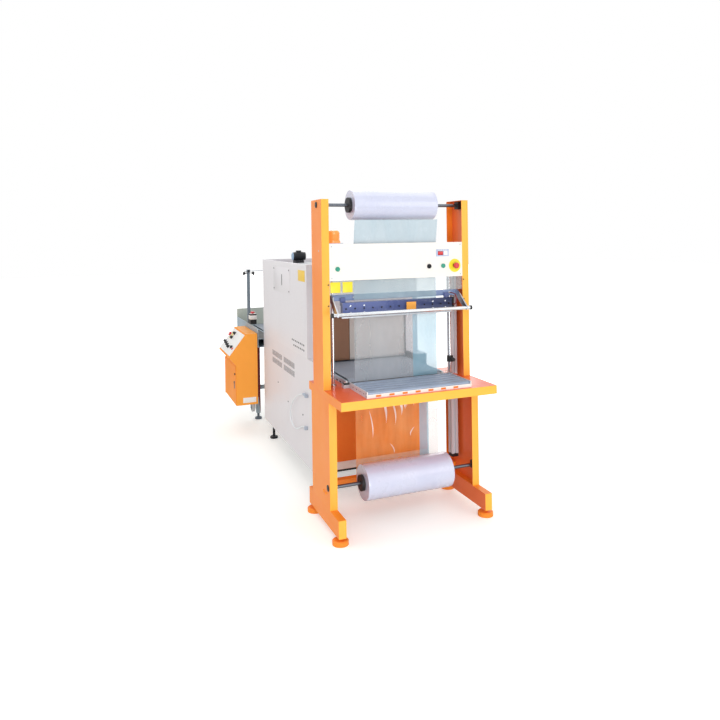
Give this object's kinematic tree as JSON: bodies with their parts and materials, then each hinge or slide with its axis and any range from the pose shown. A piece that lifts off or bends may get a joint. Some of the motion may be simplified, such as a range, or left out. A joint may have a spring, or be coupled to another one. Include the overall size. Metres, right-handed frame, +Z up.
{
  "type": "shrink banding machine",
  "caption": "Free-standing sleeve sealer with film rolls above and below a roller table, joined by a conveyor to a shrink tunnel and outfeed.",
  "frame": {"origin": "bottom centre of the machine's bounding box, on the floor", "axes": "+Z up, +Y along the line from the infeed table to the outfeed, +X to the operator's right"},
  "size_m": [1.323, 3.38, 2.145],
  "materials": {
    "orange_paint": "gloss powder coat",
    "cream_paint": "satin powder coat",
    "tunnel_paint": "satin powder coat",
    "outfeed_paint": "satin paint",
    "jaw_paint": "satin paint",
    "seal_paint": "satin paint",
    "chrome_steel": "polished",
    "steel": "ground",
    "aluminium": "anodised",
    "dark_metal": "satin paint",
    "film": "clear shrink film",
    "film_sheet": "clear shrink film",
    "clear_sheet": "clear sheet",
    "amber": "ribbed lens",
    "green_plastic": "moulded",
    "red_plastic": "moulded",
    "black_plastic": "moulded",
    "hose_white": "flexible tube",
    "hose_red": "flexible tube",
    "belt_dark": "conveyor belt",
    "curtain_brown": "coated glass cloth"
  },
  "bodies": {
    "machine": {"left_side_frame": "orange_paint", "right_side_frame": "orange_paint", "foot_frame": "orange_paint", "levelling_feet": "orange_paint", "table_tray": "orange_paint", "lower_jaw": "seal_paint", "bed_frame": "cream_paint", "guide_rods": "chrome_steel", "lift_actuators": "aluminium", "head_beam": "steel", "front_cover": "cream_paint", "safety_guard": "clear_sheet", "beacon": "amber", "bearing_blocks": "black_plastic", "upper_film": "film_sheet", "film_curtain": "film_sheet", "conveyor_rails": "cream_paint", "conveyor_belt": "belt_dark", "base_panels": "tunnel_paint", "base_front_cover": "orange_paint", "hood_shell": "tunnel_paint", "tunnel_chamber": "steel", "fan_motor": "dark_metal", "outfeed_covers": "outfeed_paint", "outfeed_legs": "outfeed_paint", "sensor_post": "outfeed_paint", "control_cabinet": "orange_paint", "console_plate": "cream_paint", "air_hose": "hose_white"},
    "jaw": {"jaw_crossbar": "jaw_paint", "jaw_carriages": "aluminium", "seal_bar": "seal_paint", "handle_bar": "chrome_steel", "jaw_hose": "hose_red"},
    "top_roll": {"top_film_roll": "film", "top_roll_shaft": "dark_metal"},
    "lower_roll": {"lower_film_roll": "film", "lower_roll_shaft": "dark_metal"},
    "upper_idler": {"upper_idler": "aluminium"},
    "nose_roller": {"nose_roller": "steel"},
    "drive_drum": {"drive_drum": "steel"},
    "start_button": {"start_button": "green_plastic"},
    "reset_button": {"reset_button": "green_plastic"},
    "mode_selector": {"mode_selector": "black_plastic"},
    "estop_button": {"estop_button": "red_plastic"},
    "outfeed_estop": {"outfeed_estop": "red_plastic"},
    "console_estop": {"console_estop": "red_plastic"},
    "console_selector": {"console_selector": "black_plastic"},
    "cabinet_door": {"cabinet_door": "orange_paint"},
    "entrance_curtain": {"entrance_curtain": "curtain_brown"},
    "exit_curtain": {"exit_curtain": "curtain_brown"},
    "fan_impeller": {"fan_impeller": "aluminium"},
    "castor_wheel_left": {"castor_wheel_left": "black_plastic"},
    "castor_wheel_right": {"castor_wheel_right": "black_plastic"},
    "sensor_rod": {"sensor_rod": "chrome_steel"},
    "infeed_roller_1": {"infeed_roller_1": "steel"},
    "infeed_roller_2": {"infeed_roller_2": "steel"},
    "infeed_roller_3": {"infeed_roller_3": "steel"},
    "infeed_roller_4": {"infeed_roller_4": "steel"},
    "infeed_roller_5": {"infeed_roller_5": "steel"}
  },
  "joints": [
    {"name": "jaw_stroke", "type": "slide", "parent": "machine", "child": "jaw", "axis": [0, 0, -1], "range_m": [0, 0.412]},
    {"name": "top_roll_spin", "type": "hinge", "parent": "machine", "child": "top_roll", "pos_m": [0.116, -1.264, 2.045], "axis": [1, 0, 0], "continuous": true},
    {"name": "lower_roll_spin", "type": "hinge", "parent": "machine", "child": "lower_roll", "pos_m": [0.116, -1.4298, 0.285], "axis": [1, 0, 0], "continuous": true},
    {"name": "idler_spin", "type": "hinge", "parent": "machine", "child": "upper_idler", "pos_m": [0.116, -1.3012, 1.75], "axis": [1, 0, 0], "continuous": true},
    {"name": "infeed_roller_1_spin", "type": "hinge", "parent": "machine", "child": "infeed_roller_1", "pos_m": [0.116, -1.6385, 0.895], "axis": [1, 0, 0], "continuous": true},
    {"name": "infeed_roller_2_spin", "type": "hinge", "parent": "machine", "child": "infeed_roller_2", "pos_m": [0.116, -1.58187, 0.895], "axis": [1, 0, 0], "continuous": true},
    {"name": "infeed_roller_3_spin", "type": "hinge", "parent": "machine", "child": "infeed_roller_3", "pos_m": [0.116, -1.52525, 0.895], "axis": [1, 0, 0], "continuous": true},
    {"name": "infeed_roller_4_spin", "type": "hinge", "parent": "machine", "child": "infeed_roller_4", "pos_m": [0.116, -1.46863, 0.895], "axis": [1, 0, 0], "continuous": true},
    {"name": "infeed_roller_5_spin", "type": "hinge", "parent": "machine", "child": "infeed_roller_5", "pos_m": [0.116, -1.412, 0.895], "axis": [1, 0, 0], "continuous": true},
    {"name": "drum_spin", "type": "hinge", "parent": "machine", "child": "drive_drum", "pos_m": [0.116, 1.636, 0.875], "axis": [1, 0, 0], "continuous": true},
    {"name": "nose_spin", "type": "hinge", "parent": "machine", "child": "nose_roller", "pos_m": [0.116, -1.264, 0.875], "axis": [1, 0, 0], "continuous": true},
    {"name": "start_press", "type": "slide", "parent": "machine", "child": "start_button", "axis": [0, 1, 0], "range_m": [0, 0.004], "stiffness_N_per_m": 400},
    {"name": "reset_press", "type": "slide", "parent": "machine", "child": "reset_button", "axis": [0, 1, 0], "range_m": [0, 0.004], "stiffness_N_per_m": 400},
    {"name": "mode_turn", "type": "hinge", "parent": "machine", "child": "mode_selector", "pos_m": [0.341, -1.364, 1.633], "axis": [0, 1, 0], "range_deg": [-45, 45]},
    {"name": "stop_press", "type": "slide", "parent": "machine", "child": "estop_button", "axis": [0, 1, 0], "range_m": [0, 0.005], "stiffness_N_per_m": 800},
    {"name": "outfeed_stop_press", "type": "slide", "parent": "machine", "child": "outfeed_estop", "axis": [0, 0, -1], "range_m": [0, 0.005], "stiffness_N_per_m": 800},
    {"name": "console_stop_press", "type": "slide", "parent": "machine", "child": "console_estop", "axis": [0.7883, 0, -0.6153], "range_m": [0, 0.005], "stiffness_N_per_m": 800},
    {"name": "console_mode_turn", "type": "hinge", "parent": "machine", "child": "console_selector", "pos_m": [-0.59896, 0.816, 0.82283], "axis": [-0.7883, 0, 0.6153], "range_deg": [-45, 45]},
    {"name": "door_swing", "type": "hinge", "parent": "machine", "child": "cabinet_door", "pos_m": [-0.5913, 1.228, 0.486], "axis": [0, 0, -1], "range_deg": [0, 110]},
    {"name": "entrance_swing", "type": "hinge", "parent": "machine", "child": "entrance_curtain", "pos_m": [0.116, -0.72, 1.248], "axis": [1, 0, 0], "range_deg": [-20, 75]},
    {"name": "exit_swing", "type": "hinge", "parent": "machine", "child": "exit_curtain", "pos_m": [0.116, 0.646, 1.248], "axis": [1, 0, 0], "range_deg": [-20, 75]},
    {"name": "fan_spin", "type": "hinge", "parent": "machine", "child": "fan_impeller", "pos_m": [-0.049, 0.436, 1.37], "axis": [0, 0, 1], "continuous": true},
    {"name": "castor_left_spin", "type": "hinge", "parent": "machine", "child": "castor_wheel_left", "pos_m": [-0.314, 1.262, 0.126], "axis": [1, 0, 0], "continuous": true},
    {"name": "castor_right_spin", "type": "hinge", "parent": "machine", "child": "castor_wheel_right", "pos_m": [0.546, 1.262, 0.126], "axis": [1, 0, 0], "continuous": true},
    {"name": "sensor_slide", "type": "slide", "parent": "machine", "child": "sensor_rod", "axis": [1, 0, 0], "range_m": [-0.06, 0.06]}
  ],
  "couplings": [
    {"joint": "nose_spin", "follows": "drum_spin", "ratio": 1}
  ]
}
